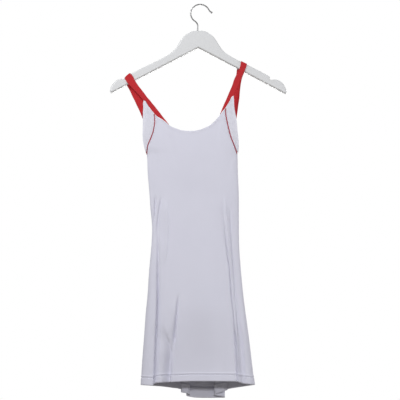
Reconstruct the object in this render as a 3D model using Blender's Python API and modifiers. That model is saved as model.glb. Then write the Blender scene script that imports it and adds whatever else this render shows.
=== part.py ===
"""An athletic dress that hangs on a wooden hanger.

Sizes are millimetres until a mesh is made, and metres after that. The origin is the inside top of the
hanger's hook, +Z is up, the front of the dress faces -Y, and left and right are -X and +X.
"""

import math
from collections import namedtuple

import bmesh
import bpy
import numpy as np
from mathutils import Vector

MM = 0.001

# Cloth
CLOTH = 1.2
HEM_CLOTH = 2.0
HEM_DEPTH = 17.0
SEAM_GAP = 0.3
SIDE_SEAM_EDGE = 0.3
PIPING_RADIUS = 1.1
PIPING_GAP = 0.45
SIDE_ROUNDING = 0.75
VALLEY_SIDE_FADE = 3.0

# Heights that several pieces share
UNDERARM = -394.0
HEM_ROWS_START = -880.0
HEM_LEVEL = -960.0
PLEAT_TOP = -590.0

# Straps
STRAP_FOLD_RISE = 4.0
STRAP_FOLD_SQUARENESS = 3.0
STRAP_FOLD_STEPS = (1.0, 0.35, 0.12, 0.03, 0.0)
STRAP_COLUMNS = 4
STRAP_SETTLING = 15.0
LEFT_FOLD_BULGE = 1.6

# Hanger
HANGER_CENTRE_X = -4.0
HANGER_DEPTH = 12.0
HANGER_EDGE_RADIUS = 2.5
HANGER_TILT = math.radians(0.25)
HOOK_WIRE_RADIUS = 1.65
HOOK_RADIUS = 24.3
HOOK_STEM_X = -6.4
HOOK_SOCKET_RADIUS = 2.0
HOOK_SOCKET_BOTTOM = -90.0
HOOK_SOCKET_TOP = -60.0
HOOK_STEM_BOTTOM = -89.0
HOOK_STEM = [
    (HOOK_STEM_X, HOOK_STEM_BOTTOM), (HOOK_STEM_X, -57), (-6.5, -53.5), (-7.3, -50.4), (-9.5, -46.9),
]
HOOK_END = [(23.2, -14.2), (25.6, -17), (28.3, -19.2), (29.8, -20.3), (31.2, -21.3)]
HOOK_END_WIDTHS = [1.0, 1.3, 1.45, 1.1]

# The dress from the front and the side: the edges of its outline, and how far the outer faces of the front
# and the back stand from the middle plane, at their own edges and in the middle.
Level = namedtuple("Level", "height left right front_edge front_middle back_edge back_middle")
LEVELS = [
    Level(-150, -205, 135, 7.7, 7.7, 7.7, 7.7),
    Level(-200, -202, 120, 7.7, 8.2, 7.7, 8.2),
    Level(-253, -160, 105, 7.2, 12, 7.6, 11),
    Level(-300, -156, 101, 5.8, 16, 6.6, 14),
    Level(-343, -151, 100, 4.2, 19, 4.8, 17),
    Level(-374, -143.5, 97.5, 2.2, 20.5, 2.4, 18.5),
    Level(-394, -133.6, 92.8, SIDE_SEAM_EDGE, 21, SIDE_SEAM_EDGE, 19),
    Level(-436, -133.2, 92.6, SIDE_SEAM_EDGE, 21, SIDE_SEAM_EDGE, 19),
    Level(-486, -128.2, 94.4, SIDE_SEAM_EDGE, 21, SIDE_SEAM_EDGE, 19),
    Level(-522, -125.3, 94.4, SIDE_SEAM_EDGE, 22, SIDE_SEAM_EDGE, 20),
    Level(-582, -121.2, 94, SIDE_SEAM_EDGE, 24, SIDE_SEAM_EDGE, 23),
    Level(-617, -121.8, 94.4, SIDE_SEAM_EDGE, 26, SIDE_SEAM_EDGE, 25),
    Level(-680, -126.8, 99.3, SIDE_SEAM_EDGE, 30, SIDE_SEAM_EDGE, 30),
    Level(-747, -131.2, 105.6, SIDE_SEAM_EDGE, 35, SIDE_SEAM_EDGE, 36),
    Level(-786, -135, 110.2, SIDE_SEAM_EDGE, 38, SIDE_SEAM_EDGE, 39),
    Level(-845, -139.2, 117.2, SIDE_SEAM_EDGE, 42, SIDE_SEAM_EDGE, 44),
    Level(-922, -144, 126.6, SIDE_SEAM_EDGE, 48, SIDE_SEAM_EDGE, 50),
    Level(-962, -145.6, 132.6, SIDE_SEAM_EDGE, 50, SIDE_SEAM_EDGE, 52),
]

# Soft valleys that run down the skirt: where each starts, its way to the hem, how deep it is there, and
# how wide its left and right slopes are.
Valley = namedtuple("Valley", "start_z start_x middle_x hem_x depth left_width right_width")
FRONT_VALLEYS = [
    Valley(-500, -109, -105, -112, 13, 6, 10),
    Valley(-735, -53, -62, -75, 8, 15, 5),
    Valley(-515, 61, 78, 95, 14, 7, 11),
]
BACK_VALLEYS = [
    Valley(-520, -92, -94, -100, 12, 9, 12),
    Valley(-560, 78, 88, 100, 12, 12, 9),
]

# Heights of the hem across the front and the back. The place across is 0 in the middle, -1 and 1 at the
# side seams.
HemPoint = namedtuple("HemPoint", "across height")
FRONT_HEM = [
    HemPoint(-1, -963.5),
    HemPoint(-0.79, -965),
    HemPoint(-0.73, -959),
    HemPoint(-0.5, -957),
    HemPoint(0, -955),
    HemPoint(0.66, -955.5),
    HemPoint(0.82, -961),
    HemPoint(1, -963),
]

# The box pleat at the hem: where a place across the flat back goes, sideways and backwards from the
# back's own depth, and how low it hangs. It runs from one side panel, round the two edges of a fold, over
# the box and round the other fold.
PleatPoint = namedtuple("PleatPoint", "across hem_x hem_back hem_z")
PLEAT = [
    PleatPoint(-0.375, -54, -1, -972),
    PleatPoint(-0.345, -44.5, -1.5, -974.5),
    PleatPoint(-0.325, -41.5, -5, -977),
    PleatPoint(-0.3, -46.5, -9.5, -980.5),
    PleatPoint(-0.265, -38, -13, -982.5),
    PleatPoint(-0.225, -30, -13.5, -984),
    PleatPoint(-0.205, -26.5, -10, -986),
    PleatPoint(-0.18, -29, -6, -986),
    PleatPoint(-0.155, -34, -2, -988),
    PleatPoint(-0.135, -32, 3, -990),
    PleatPoint(-0.1, -24, 6, -992),
    PleatPoint(-0.04, -8, 7, -994),
    PleatPoint(0.03, 10, 7, -994.5),
    PleatPoint(0.11, 32, 7, -994.5),
    PleatPoint(0.18, 52, 6, -994),
    PleatPoint(0.22, 60, 3, -994),
    PleatPoint(0.245, 60.5, -2, -993),
    PleatPoint(0.28, 48, -5, -990),
    PleatPoint(0.305, 38, -8, -988),
    PleatPoint(0.325, 35.5, -11, -986),
    PleatPoint(0.35, 41, -13, -984),
    PleatPoint(0.41, 56, -11, -979),
    PleatPoint(0.47, 68, -2, -975),
]
BACK_HEM_SIDES = [HemPoint(-1, -963.5), HemPoint(-0.7, -966), HemPoint(0.8, -967), HemPoint(1, -963)]

# Seams and edges as places seen from the front, x then height.
NECKLINE = [
    (-79, -318), (-71, -323), (-61, -327), (-51, -331), (-38, -333.3), (-26, -334), (-13, -333.2),
    (-1, -330.7), (12, -325.5), (25, -318.5), (33, -311.5), (41, -302.5), (50, -291.5),
]
LEFT_STRAP_SEAM = [
    (-143, -254), (-138, -255.3), (-133.5, -263.5), (-127.5, -273), (-120, -283), (-114, -290.7),
    (-107, -297), (-100, -301.3), (-92, -306.7), (-84.5, -313), (-79, -318),
]
RIGHT_STRAP_SEAM = [
    (84.5, -241.5), (80, -244.5), (75, -255), (69, -265), (62.5, -275.3), (57.5, -281), (53, -287),
    (50, -291.5),
]
LEFT_PIPING = [
    (-115.8, -290.4), (-114.4, -300), (-114.2, -311), (-116, -325), (-119.5, -340), (-123.5, -351),
    (-128, -361.5), (-131.6, -371), (-133.3, -382), (-134, -391),
]
RIGHT_PIPING = [
    (63.9, -275.9), (64.2, -287), (65.8, -300), (68.2, -312), (71, -325), (74, -338), (78, -351.5),
    (83.5, -365.5), (88.5, -379), (92.3, -390.5),
]
LEFT_ARMHOLE = [
    (-143, -254), (-144, -262), (-143.6, -271), (-144.4, -284), (-145, -300), (-145.2, -322),
    (-145, -343), (-143.2, -361), (-140.3, -374), (-137.2, -384), (-135.9, -388),
]
RIGHT_ARMHOLE = [
    (84.5, -241.5), (85.2, -250), (85.3, -261), (86.3, -274), (88.2, -286), (90.2, -298),
    (91.5, -312), (92.6, -330), (94.2, -351), (95.2, -367), (95.1, -381), (94.3, -387),
]
BACK_LEFT_ARMHOLE = [
    (-141, -309.2), (-139, -330), (-137.5, -350), (-136.3, -370), (-135.2, -384),
]
BACK_RIGHT_ARMHOLE = [
    (91, -301.2), (91.5, -325), (92.6, -350), (93, -370), (93, -384),
]
BACK_NECKLINE = [
    (-123, -304.2), (-113, -322), (-98, -341), (-79, -356), (-54, -367), (-23, -371.5), (8, -367),
    (34, -354), (53, -337), (67, -319), (76, -298.2),
]

# The two edges of each strap from the fold over the hanger down to the seam.
StrapRow = namedtuple("StrapRow", "neck_x neck_z outer_x outer_z")
LEFT_STRAP_FRONT = [
    StrapRow(-178.5, -180.5, -192.5, -193.5),
    StrapRow(-171, -189, -187, -204),
    StrapRow(-165, -201, -179, -214),
    StrapRow(-157, -214, -170, -223.5),
    StrapRow(-147, -227, -159, -235),
    StrapRow(-139, -238, -150, -245.5),
    StrapRow(-132.5, -247, -142.5, -253.4),
    StrapRow(-128, -252, -138, -254.7),
    StrapRow(-122, -260, -133.5, -263),
    StrapRow(-115, -268.5, -127.5, -272.5),
    StrapRow(-108, -278, -120, -282.5),
    StrapRow(-101, -287, -114, -290.2),
    StrapRow(-95, -295.5, -107, -296.5),
    StrapRow(-90, -302, -100, -300.8),
    StrapRow(-84.5, -309, -92, -306.2),
    StrapRow(-80.5, -314.5, -84.5, -312.5),
    StrapRow(-78.8, -317, -79.5, -316.8),
]
LEFT_STRAP_BACK = [
    StrapRow(-178.5, -180.5, -192.5, -193.5),
    StrapRow(-175, -192, -190.5, -200),
    StrapRow(-170, -203, -186, -211),
    StrapRow(-161, -215, -179, -223.5),
    StrapRow(-152, -228, -173, -237),
    StrapRow(-142.5, -241, -166.5, -250),
    StrapRow(-134.5, -254.5, -160.5, -263),
    StrapRow(-128.5, -270, -153.5, -277.5),
    StrapRow(-125, -287, -147.5, -292),
    StrapRow(-123, -303.7, -141, -308.7),
]
RIGHT_STRAP_FRONT = [
    StrapRow(104, -149, 119, -156.5),
    StrapRow(101.5, -165, 116, -168),
    StrapRow(96, -178, 111, -179),
    StrapRow(89.5, -190.5, 106.5, -191),
    StrapRow(85, -201, 101.5, -204),
    StrapRow(81, -214, 96, -217),
    StrapRow(75.5, -227, 90, -229.5),
    StrapRow(71.5, -236.5, 84.5, -240.9),
    StrapRow(69, -243, 80, -243.9),
    StrapRow(65, -252.5, 75, -254.4),
    StrapRow(60.5, -263, 69, -264.4),
    StrapRow(56.5, -272.5, 62.5, -274.7),
    StrapRow(53.5, -280.3, 57.5, -280.4),
    StrapRow(51.2, -287, 53, -286.4),
    StrapRow(50.2, -290.4, 50.7, -290),
]
RIGHT_STRAP_BACK = [
    StrapRow(104, -149, 119, -156.5),
    StrapRow(97, -162, 116.5, -167),
    StrapRow(93.5, -169, 113.5, -173.5),
    StrapRow(92.5, -177, 109.5, -182.5),
    StrapRow(91, -188, 106, -193),
    StrapRow(88.5, -204, 103, -209),
    StrapRow(86, -222, 101, -226),
    StrapRow(84, -240, 99.5, -243),
    StrapRow(82, -258, 97, -260),
    StrapRow(79.5, -277, 94.5, -279),
    StrapRow(76, -297.7, 91, -300.7),
]

# The right half of the hanger's outline, as distance from its middle and height. The top edge runs out
# to the tip, with a notch for a strap, and the lower edge comes back to the apex.
HANGER_TOP = [
    (0, -68.9), (8, -69), (18, -71), (28, -76.8), (37, -83.5), (44, -92.5), (52, -105.5), (60, -118),
    (70, -128), (82, -136), (107, -149.8), (145, -168.8), (170, -182.4), (181.5, -189),
    (181.7, -197.3), (197, -196.3), (204.6, -198.9), (213, -205), (218.5, -212.8), (222.2, -220.8),
    (223.6, -228.5), (221, -233.5),
]
HANGER_APEX = -113.6
HANGER_APEX_HALF_WIDTH = 6.0
HANGER_LOWER_SLOPE = 0.53

# Places where the cloth is divided, in degrees across the body and millimetres down it.
FRONT_ANGLES = [
    -87, -82, -76, -70, -65, -61, -58.5, -56, -53.5, -51, -48.5, -46, -42, -37, -32, -28.5, -25, -21,
    -15, -8, 0, 8, 16, 24, 31, 37, 41, 44, 46.5, 49, 51.5, 54, 57, 61, 66, 72, 78, 83, 87,
]
BACK_SIDE_ANGLES = [
    -87, -82, -76, -70, -63, -57, -52, -47, -42, -36, -30, 36, 43, 48, 53, 59, 65, 71, 77, 83, 87,
]
SIDE_FRONT_ANGLES = [-76, -70, -64, -58, -52, -46, 46, 52, 58, 64, 70, 76]
HEIGHTS = [
    -258, -272, -287, -303, -319, -336, -353, -370, -394, -420, -450, -482, -515, -548, -580, -612,
    -645, -678, -712, -746, -780, -815, -850, -880, -912, -942.5, -943.5,
]
SAME_PLACE = 0.6


def level_value(column, height):
    """One column of LEVELS at a height."""
    heights = [-level.height for level in LEVELS]
    return float(np.interp(-height, heights, [getattr(level, column) for level in LEVELS]))


def smoothstep(low, high, value):
    part = min(1.0, max(0.0, (value - low) / (high - low)))
    return part * part * (3 - 2 * part)


def middle_and_half(height):
    left, right = level_value("left", height), level_value("right", height)
    return (left + right) / 2, (right - left) / 2


def angle_at(x, height):
    """The angle round the body, in degrees, of a place seen from the front."""
    middle, half = middle_and_half(height)
    return math.degrees(math.asin(min(1.0, max(-1.0, (x - middle) / half))))


def hem_height(points, across, height):
    """Where the flat height lands once the hem's own line is taken into account."""
    if height > HEM_ROWS_START:
        return height
    lowest = float(np.interp(across, [p[0] for p in points], [p[-1] for p in points]))
    part = (HEM_ROWS_START - height) / (HEM_ROWS_START - HEM_LEVEL)
    return HEM_ROWS_START + part * (lowest - HEM_ROWS_START)


def valley_depth(valleys, x, height):
    total = 0.0
    for valley in valleys:
        reach = (valley.start_z - height) / (valley.start_z - HEM_LEVEL)
        if reach <= 0:
            continue
        ways = [valley.start_x, valley.middle_x, valley.hem_x]
        offset = x - float(np.interp(reach, [0, 0.5, 1], ways))
        width = valley.left_width if offset < 0 else valley.right_width
        total += valley.depth * smoothstep(0, 0.8, reach) * math.exp(-((offset / width) ** 2))
    return total


def body_depth(side, angle, height):
    """How far the outer face stands from the middle plane."""
    edge = level_value(side + "_edge", height)
    middle = level_value(side + "_middle", height)
    return edge + (middle - edge) * max(0.0, math.cos(angle)) ** SIDE_ROUNDING


def front_place(angle_degrees, height):
    angle = math.radians(angle_degrees)
    middle, half = middle_and_half(height)
    across = math.sin(angle)
    x = middle + half * across
    y = -body_depth("front", angle, height)
    y += valley_depth(FRONT_VALLEYS, x, height) * min(1.0, VALLEY_SIDE_FADE * math.cos(angle))
    return x, y, hem_height(FRONT_HEM, across, height)


def back_hem_points():
    pleat = [HemPoint(p.across, p.hem_z) for p in PLEAT]
    return BACK_HEM_SIDES[:2] + pleat + BACK_HEM_SIDES[2:]


def back_place(angle_degrees, height):
    angle = math.radians(angle_degrees)
    middle, half = middle_and_half(height)
    across = math.sin(angle)
    x = middle + half * across
    depth = body_depth("back", angle, height)
    depth -= valley_depth(BACK_VALLEYS, x, height) * min(1.0, VALLEY_SIDE_FADE * math.cos(angle))
    opened = smoothstep(PLEAT_TOP, HEM_LEVEL, height) if height < PLEAT_TOP else 0.0
    if opened and PLEAT[0].across < across < PLEAT[-1].across:
        places = [p.across for p in PLEAT]
        hem_x = float(np.interp(across, places, [p.hem_x for p in PLEAT]))
        hem_back = float(np.interp(across, places, [p.hem_back for p in PLEAT]))
        x += opened * (hem_x - x)
        depth += opened * hem_back
    return x, depth, hem_height(back_hem_points(), across, height)


def front_place_at(x, height):
    return front_place(angle_at(x, height), height)


def smooth_line(points, count):
    """Places spread evenly along a smooth curve through the points."""
    rows = np.array(points, float)
    steps = np.linalg.norm(np.diff(rows, axis=0), axis=1)
    along = np.concatenate([[0], np.cumsum(steps)])
    slopes = np.gradient(rows, along, axis=0)
    places = []
    for want in np.linspace(0, along[-1], count):
        i = min(int(np.searchsorted(along, want, side="right")) - 1, len(rows) - 2)
        span = along[i + 1] - along[i]
        t = (want - along[i]) / span
        start = rows[i] * (2 * t**3 - 3 * t**2 + 1) + slopes[i] * span * (t**3 - 2 * t**2 + t)
        end = rows[i + 1] * (3 * t**2 - 2 * t**3) + slopes[i + 1] * span * (t**3 - t**2)
        places.append(tuple(start + end))
    return places


def beside(points, distance):
    """The line moved sideways, to its left when seen along its way with x to the right and z up."""
    rows = np.array(points, float)
    along = np.gradient(rows, axis=0)
    along /= np.linalg.norm(along, axis=1)[:, None]
    return [tuple(row + distance * np.array([-way[1], way[0]])) for row, way in zip(rows, along)]


def lowered(points, distance):
    return [(x, z - distance) for x, z in points]


def between(points, low_x, high_x):
    return [p for p in points if low_x < p[0] < high_x]


def corner_under(seam, x):
    """The place just under a strap's seam at x, seen from the front."""
    places = sorted(seam)
    height = float(np.interp(x, [p[0] for p in places], [p[1] for p in places]))
    return x, height - SEAM_GAP


def make_material(name, colour, roughness, metallic=0.0):
    material = bpy.data.materials.new(name)
    material.use_nodes = True
    shader = material.node_tree.nodes["Principled BSDF"]
    shader.inputs["Base Color"].default_value = (*colour, 1)
    shader.inputs["Roughness"].default_value = roughness
    shader.inputs["Metallic"].default_value = metallic
    return material


def add_object(name, data, material, collection):
    obj = bpy.data.objects.new(name, data)
    data.materials.append(material)
    collection.objects.link(obj)
    return obj


def thicken(obj, thickness, thin_share=None):
    """Turns an open surface into a wall. thin_share is the wall's share of the hem's thickness."""
    wall = obj.modifiers.new("Wall", "SOLIDIFY")
    wall.thickness = thickness * MM
    wall.offset = -1
    wall.use_even_offset = True
    if thin_share is not None:
        wall.vertex_group = "hem"
        wall.thickness_vertex_group = thin_share
    for face in obj.data.polygons:
        face.use_smooth = True


def pattern_piece(name, outline, angles, place, material, collection, outward):
    """Lays a flat outline of angles and heights on the body and makes it a wall of cloth.

    outward is -1 where the outer face looks to -Y and 1 where it looks to +Y.
    """
    work = bmesh.new()
    corners = [work.verts.new((angle, 0, height)) for angle, height in outline]
    work.faces.new(corners)
    cuts = [((angle, 0, 0), (1, 0, 0)) for angle in angles]
    cuts += [((0, 0, height), (0, 0, 1)) for height in HEIGHTS]
    for point, way in cuts:
        everything = work.verts[:] + work.edges[:] + work.faces[:]
        bmesh.ops.bisect_plane(work, geom=everything, dist=SAME_PLACE, plane_co=point, plane_no=way)
    bmesh.ops.triangulate(work, faces=work.faces[:], quad_method="BEAUTY", ngon_method="BEAUTY")
    work.normal_update()
    turned = [face for face in work.faces if face.normal.y * outward < 0]
    bmesh.ops.reverse_faces(work, faces=turned)
    hem_line = HEM_LEVEL + HEM_DEPTH
    in_hem = [vertex.co.z < hem_line for vertex in work.verts]
    for vertex in work.verts:
        vertex.co = Vector(place(vertex.co.x, vertex.co.z)) * MM
    mesh = bpy.data.meshes.new(name)
    work.to_mesh(mesh)
    work.free()
    obj = add_object(name, mesh, material, collection)
    if any(in_hem):
        group = obj.vertex_groups.new(name="hem")
        group.add([i for i, inside in enumerate(in_hem) if inside], 1.0, "REPLACE")
        thicken(obj, HEM_CLOTH, CLOTH / HEM_CLOTH)
    else:
        thicken(obj, CLOTH)
    return obj


def as_angles(points):
    return [(angle_at(x, z), z) for x, z in points]


def side_front_outline(armhole, seam, piping, side):
    """side is -1 on the left and 1 on the right."""
    inner = beside(smooth_line(piping[:-1], 9), side * (PIPING_RADIUS + PIPING_GAP))
    low, high = sorted((armhole[0][0], inner[0][0]))
    upper = lowered(between(seam, low, high), SEAM_GAP)
    return armhole[::-1] + upper + [corner_under(seam, inner[0][0])] + inner


def make_front(material, collection):
    clear = PIPING_RADIUS + PIPING_GAP
    left_piping = beside(smooth_line(LEFT_PIPING, 12), clear)
    right_piping = beside(smooth_line(RIGHT_PIPING, 12), -clear)
    left_corner = corner_under(LEFT_STRAP_SEAM, left_piping[0][0])
    right_corner = corner_under(RIGHT_STRAP_SEAM, right_piping[0][0])
    left_seam = lowered(between(LEFT_STRAP_SEAM, left_corner[0] + 1, NECKLINE[0][0] - 1), SEAM_GAP)
    right_seam = lowered(between(RIGHT_STRAP_SEAM, NECKLINE[-1][0] + 1, right_corner[0] - 1), SEAM_GAP)
    upper = left_piping[:0:-1] + [left_corner] + left_seam + smooth_line(lowered(NECKLINE, SEAM_GAP), 19)
    upper += right_seam[::-1] + [right_corner] + right_piping[1:]
    outline = [(-90, HEM_LEVEL), (-90, UNDERARM)] + as_angles(upper)
    outline += [(90, UNDERARM), (90, HEM_LEVEL)]
    return pattern_piece("front_panel", outline, FRONT_ANGLES, front_place, material, collection, -1)


def make_side_fronts(material, collection):
    left = side_front_outline(LEFT_ARMHOLE, LEFT_STRAP_SEAM, LEFT_PIPING, -1)
    right = side_front_outline(RIGHT_ARMHOLE, RIGHT_STRAP_SEAM, RIGHT_PIPING, 1)
    for name, outline in (("side_front_left", left), ("side_front_right", right)):
        flat = as_angles(outline)
        pattern_piece(name, flat, SIDE_FRONT_ANGLES, front_place, material, collection, -1)


def make_back(material, collection):
    angles = BACK_SIDE_ANGLES + [math.degrees(math.asin(p.across)) for p in PLEAT]
    upper = BACK_LEFT_ARMHOLE[::-1] + smooth_line(BACK_NECKLINE, 17) + BACK_RIGHT_ARMHOLE
    outline = [(-90, HEM_LEVEL), (-90, UNDERARM)] + as_angles(upper)
    outline += [(90, UNDERARM), (90, HEM_LEVEL)]
    return pattern_piece("back_panel", outline, angles, back_place, material, collection, 1)


def across_row(row, part):
    """A place on a strap's row, from its neck edge at 0 to its outer edge at 1."""
    x = row.neck_x + part * (row.outer_x - row.neck_x)
    return x, row.neck_z + part * (row.outer_z - row.neck_z)


def strap_half(rows, side, bulge):
    """Lines of places on one half of a strap, from its end up to the fold and round to its top.

    side is -1 in front and 1 behind. bulge lifts the middle of the fold over the hanger's corner.
    """
    drops = [STRAP_FOLD_RISE * step for step in STRAP_FOLD_STEPS]
    lines = []
    for row, drop in [(row, None) for row in rows[:0:-1]] + [(None, drop) for drop in drops]:
        line = []
        for column in range(STRAP_COLUMNS + 1):
            part = column / STRAP_COLUMNS
            top_x, top_z = across_row(rows[0], part)
            next_x, next_z = across_row(rows[1], part)
            if row is None:
                x = top_x + (next_x - top_x) * drop / (top_z - next_z)
                z = top_z - drop
                flat = (1 - drop / STRAP_FOLD_RISE) ** STRAP_FOLD_SQUARENESS
                rounding = (1 - flat) ** (1 / STRAP_FOLD_SQUARENESS)
            else:
                x, z = across_row(row, part)
                rounding = 1.0
            depth = body_depth("front" if side < 0 else "back", math.radians(angle_at(x, z)), z)
            settled = max(0.0, 1 - (top_z - z) / STRAP_SETTLING)
            z += bulge * 4 * part * (1 - part) * settled
            line.append(Vector((x, side * depth * rounding, z)) * MM)
        lines.append(line)
    return lines


def make_strap(name, front_rows, back_rows, bulge, material, collection):
    front = strap_half(front_rows, -1, bulge)
    back = strap_half(back_rows, 1, bulge)
    rows = front + back[-2::-1]
    work = bmesh.new()
    grid = [[work.verts.new(place) for place in line] for line in rows]
    leftward = front_rows[0].outer_x < front_rows[0].neck_x
    for low, high in zip(grid, grid[1:]):
        for column in range(STRAP_COLUMNS):
            corners = [low[column], low[column + 1], high[column + 1], high[column]]
            work.faces.new(corners[::-1] if leftward else corners)
    bmesh.ops.triangulate(work, faces=work.faces[:])
    mesh = bpy.data.meshes.new(name)
    work.to_mesh(mesh)
    work.free()
    obj = add_object(name, mesh, material, collection)
    thicken(obj, CLOTH)
    return obj


def make_wire(name, places, radius, material, collection, radii=None):
    """A round wire along places in metres, with closed ends."""
    curve = bpy.data.curves.new(name, "CURVE")
    curve.dimensions = "3D"
    curve.bevel_depth = radius * MM
    curve.bevel_resolution = 2
    curve.use_fill_caps = True
    spline = curve.splines.new("POLY")
    spline.points.add(len(places) - 1)
    for i, place in enumerate(places):
        spline.points[i].co = (*place, 1)
        spline.points[i].radius = radii[i] if radii else 1.0
    return add_object(name, curve, material, collection)


def make_piping(name, line, material, collection):
    places = []
    for x, z in smooth_line(line, 16):
        x, y, z = front_place_at(x, z)
        places.append(Vector((x, y + CLOTH / 2, z)) * MM)
    return make_wire(name, places, PIPING_RADIUS, material, collection)


def hanger_outline():
    beside_apex = HANGER_APEX - HANGER_LOWER_SLOPE * HANGER_APEX_HALF_WIDTH
    right = HANGER_TOP + [(HANGER_APEX_HALF_WIDTH, beside_apex)]
    left = [(-d, z) for d, z in right[:0:-1]]
    return right + [(0, HANGER_APEX)] + left


def make_hanger_body(material, collection, cutters):
    curve = bpy.data.curves.new("hanger_outline", "CURVE")
    curve.dimensions = "2D"
    curve.fill_mode = "BOTH"
    curve.extrude = (HANGER_DEPTH / 2 - HANGER_EDGE_RADIUS) * MM
    curve.bevel_depth = HANGER_EDGE_RADIUS * MM
    curve.bevel_resolution = 1
    curve.offset = -HANGER_EDGE_RADIUS * MM
    spline = curve.splines.new("POLY")
    outline = hanger_outline()
    spline.points.add(len(outline) - 1)
    for point, (distance, height) in zip(spline.points, outline):
        point.co = (distance * MM, height * MM, 0, 1)
    spline.use_cyclic_u = True
    guide = bpy.data.objects.new("hanger_guide", curve)
    collection.objects.link(guide)
    graph = bpy.context.evaluated_depsgraph_get()
    mesh = bpy.data.meshes.new_from_object(guide.evaluated_get(graph))
    bpy.data.objects.remove(guide)
    work = bmesh.new()
    work.from_mesh(mesh)
    bmesh.ops.remove_doubles(work, verts=work.verts[:], dist=0.00001)
    bmesh.ops.recalc_face_normals(work, faces=work.faces[:])
    work.to_mesh(mesh)
    work.free()
    body = add_object("hanger_body", mesh, material, collection)
    body.location = (HANGER_CENTRE_X * MM, 0, 0)
    body.rotation_euler = (math.radians(90), HANGER_TILT, 0)
    socket_height = HOOK_SOCKET_TOP - HOOK_SOCKET_BOTTOM
    bpy.ops.mesh.primitive_cylinder_add(
        vertices=16,
        radius=HOOK_SOCKET_RADIUS * MM,
        depth=socket_height * MM,
        location=(HOOK_STEM_X * MM, 0, (HOOK_SOCKET_BOTTOM + socket_height / 2) * MM),
    )
    socket = bpy.context.object
    socket.name = "hook_socket"
    for owner in socket.users_collection:
        owner.objects.unlink(socket)
    cutters.objects.link(socket)
    socket.hide_render = True
    socket.display_type = "WIRE"
    cut = body.modifiers.new("Hook socket", "BOOLEAN")
    cut.object = socket
    cut.operation = "DIFFERENCE"
    return body


def hook_line():
    """The wire from the wood up the stem, round the hook and out to its blunt end."""
    centre_z = HOOK_WIRE_RADIUS - HOOK_RADIUS
    places = list(HOOK_STEM)
    for degrees in range(238, 26, -14):
        angle = math.radians(degrees)
        places.append((HOOK_RADIUS * math.cos(angle), centre_z + HOOK_RADIUS * math.sin(angle)))
    return places + HOOK_END


def make_hanger_hook(material, collection):
    places = [Vector((x, 0, z)) * MM for x, z in hook_line()]
    radii = [1.0] * (len(places) - len(HOOK_END_WIDTHS)) + HOOK_END_WIDTHS
    return make_wire("hanger_hook", places, HOOK_WIRE_RADIUS, material, collection, radii)


def main():
    for obj in list(bpy.data.objects):
        bpy.data.objects.remove(obj)
    dress = bpy.data.collections.new("athletic_dress")
    cutters = bpy.data.collections.new("cutters")
    for collection in (dress, cutters):
        bpy.context.scene.collection.children.link(collection)
    jersey = make_material("white_jersey", (0.62, 0.62, 0.7), 0.75)
    red = make_material("red_jersey", (0.46, 0.04, 0.04), 0.7)
    wood = make_material("white_paint", (0.7, 0.7, 0.72), 0.4)
    steel = make_material("steel", (0.6, 0.6, 0.6), 0.25, 1.0)
    make_front(jersey, dress)
    make_side_fronts(jersey, dress)
    make_back(jersey, dress)
    make_strap("strap_left", LEFT_STRAP_FRONT, LEFT_STRAP_BACK, LEFT_FOLD_BULGE, red, dress)
    make_strap("strap_right", RIGHT_STRAP_FRONT, RIGHT_STRAP_BACK, 0.0, red, dress)
    make_piping("piping_left", LEFT_PIPING, red, dress)
    make_piping("piping_right", RIGHT_PIPING, red, dress)
    make_hanger_body(wood, dress, cutters)
    make_hanger_hook(steel, dress)


main()
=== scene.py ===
"""The looks of a white athletic dress with red straps, on a white wooden hanger.

Sizes are millimetres until a mesh is made, and metres after that. Each piece of cloth is cut flat, as an
outline of angles round the body and heights, and is then laid on the same form as its solid, with finer
creases. Left and right are -X and +X, and the front of the dress faces -Y.
"""

import math
from collections import namedtuple

import bmesh
import bpy
import numpy as np
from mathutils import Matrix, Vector
from mathutils.geometry import delaunay_2d_cdt


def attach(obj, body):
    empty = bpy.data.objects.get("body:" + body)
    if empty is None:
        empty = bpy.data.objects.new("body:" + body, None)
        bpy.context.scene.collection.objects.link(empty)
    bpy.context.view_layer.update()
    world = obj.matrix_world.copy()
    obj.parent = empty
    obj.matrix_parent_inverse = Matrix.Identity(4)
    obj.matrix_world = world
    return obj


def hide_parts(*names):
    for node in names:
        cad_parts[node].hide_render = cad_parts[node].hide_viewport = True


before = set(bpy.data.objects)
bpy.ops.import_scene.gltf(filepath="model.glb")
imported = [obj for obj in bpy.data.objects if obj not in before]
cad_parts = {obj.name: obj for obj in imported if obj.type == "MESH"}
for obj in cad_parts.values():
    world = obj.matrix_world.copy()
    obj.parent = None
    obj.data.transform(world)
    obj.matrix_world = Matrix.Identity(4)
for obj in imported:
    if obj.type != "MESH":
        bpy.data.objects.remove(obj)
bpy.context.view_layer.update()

MM = 0.001

# Cloth
CLOTH = 1.0
HEM_CLOTH = 1.8
HEM_DEPTH = 17.0
EDGE_BAND = 6.0
SEAM_GAP = 0.3
SIDE_SEAM_EDGE = 0.3
PIPING_RADIUS = 1.15
PIPING_GAP = 0.15
PIPING_CLEAR = PIPING_RADIUS + PIPING_GAP
PIPING_SINK = 0.35
SIDE_ROUNDING = 0.75
VALLEY_SIDE_FADE = 3.0
VALLEY_FULL_REACH = 0.8

# How far turned edges and the hem stand out, and the groove and the puffed cloth at the hem's seam
EDGE_LIFT = 0.35
EDGE_SOFTNESS = 1.2
HEM_LIFT = 0.6
HEM_SOFTNESS = 2.5
HEM_GROOVE = 0.7
HEM_GROOVE_WIDTH = 1.2
HEM_PUFF = 0.8
HEM_PUFF_RISE = 3.2
HEM_PUFF_WIDTH = 1.8
FAR_FROM_EDGE = 99.0

# Heights that several pieces share
BODICE_TOP = -230.0
UNDERARM = -394.0
PLEAT_TOP = -590.0
HEM_ROWS_START = -880.0
HEM_LEVEL = -960.0

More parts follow.
